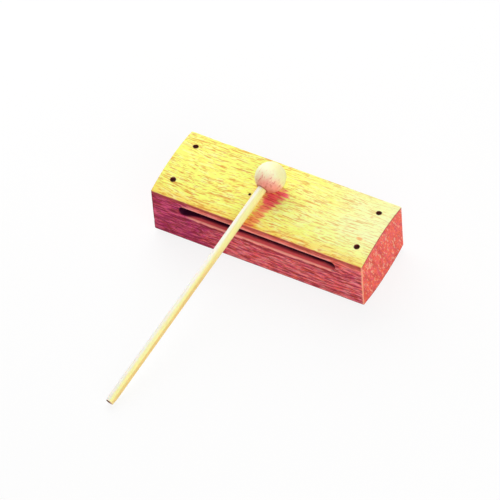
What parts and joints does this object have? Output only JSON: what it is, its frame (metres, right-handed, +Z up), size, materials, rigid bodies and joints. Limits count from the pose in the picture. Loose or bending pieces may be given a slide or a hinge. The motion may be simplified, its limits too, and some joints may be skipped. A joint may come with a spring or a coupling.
{
  "type": "woodblock",
  "caption": "Slotted hardwood woodblock, a small percussion block with a milled sound slot, nailed corners and a loose ball-headed mallet that lies across it.",
  "frame": {"origin": "middle of the block's underside, on the surface that it stands on", "axes": "+X along the block's length, -Y out of the sound slot's mouth, +Z up"},
  "size_m": [0.19, 0.2441, 0.0799],
  "materials": {
    "block_wood": "planed open-pored hardwood, golden on the top and redder on the sides and ends, thin satin oil",
    "nail_steel": "dark oxidised steel, dull",
    "head_wood": "turned and sanded pale hardwood, waxed",
    "stick_wood": "sanded pale straight-grained dowel, waxed"
  },
  "bodies": {
    "block": {"tone_block": "block_wood", "nail_front_left": "nail_steel", "nail_front_right": "nail_steel", "nail_back_left": "nail_steel", "nail_back_right": "nail_steel"},
    "mallet": {"mallet_head": "head_wood", "mallet_stick": "stick_wood"}
  },
  "joints": [
    {"name": "mallet_lift", "type": "slide", "parent": "block", "child": "mallet", "axis": [0, 0, 1], "range_m": [0, 0.15]}
  ]
}
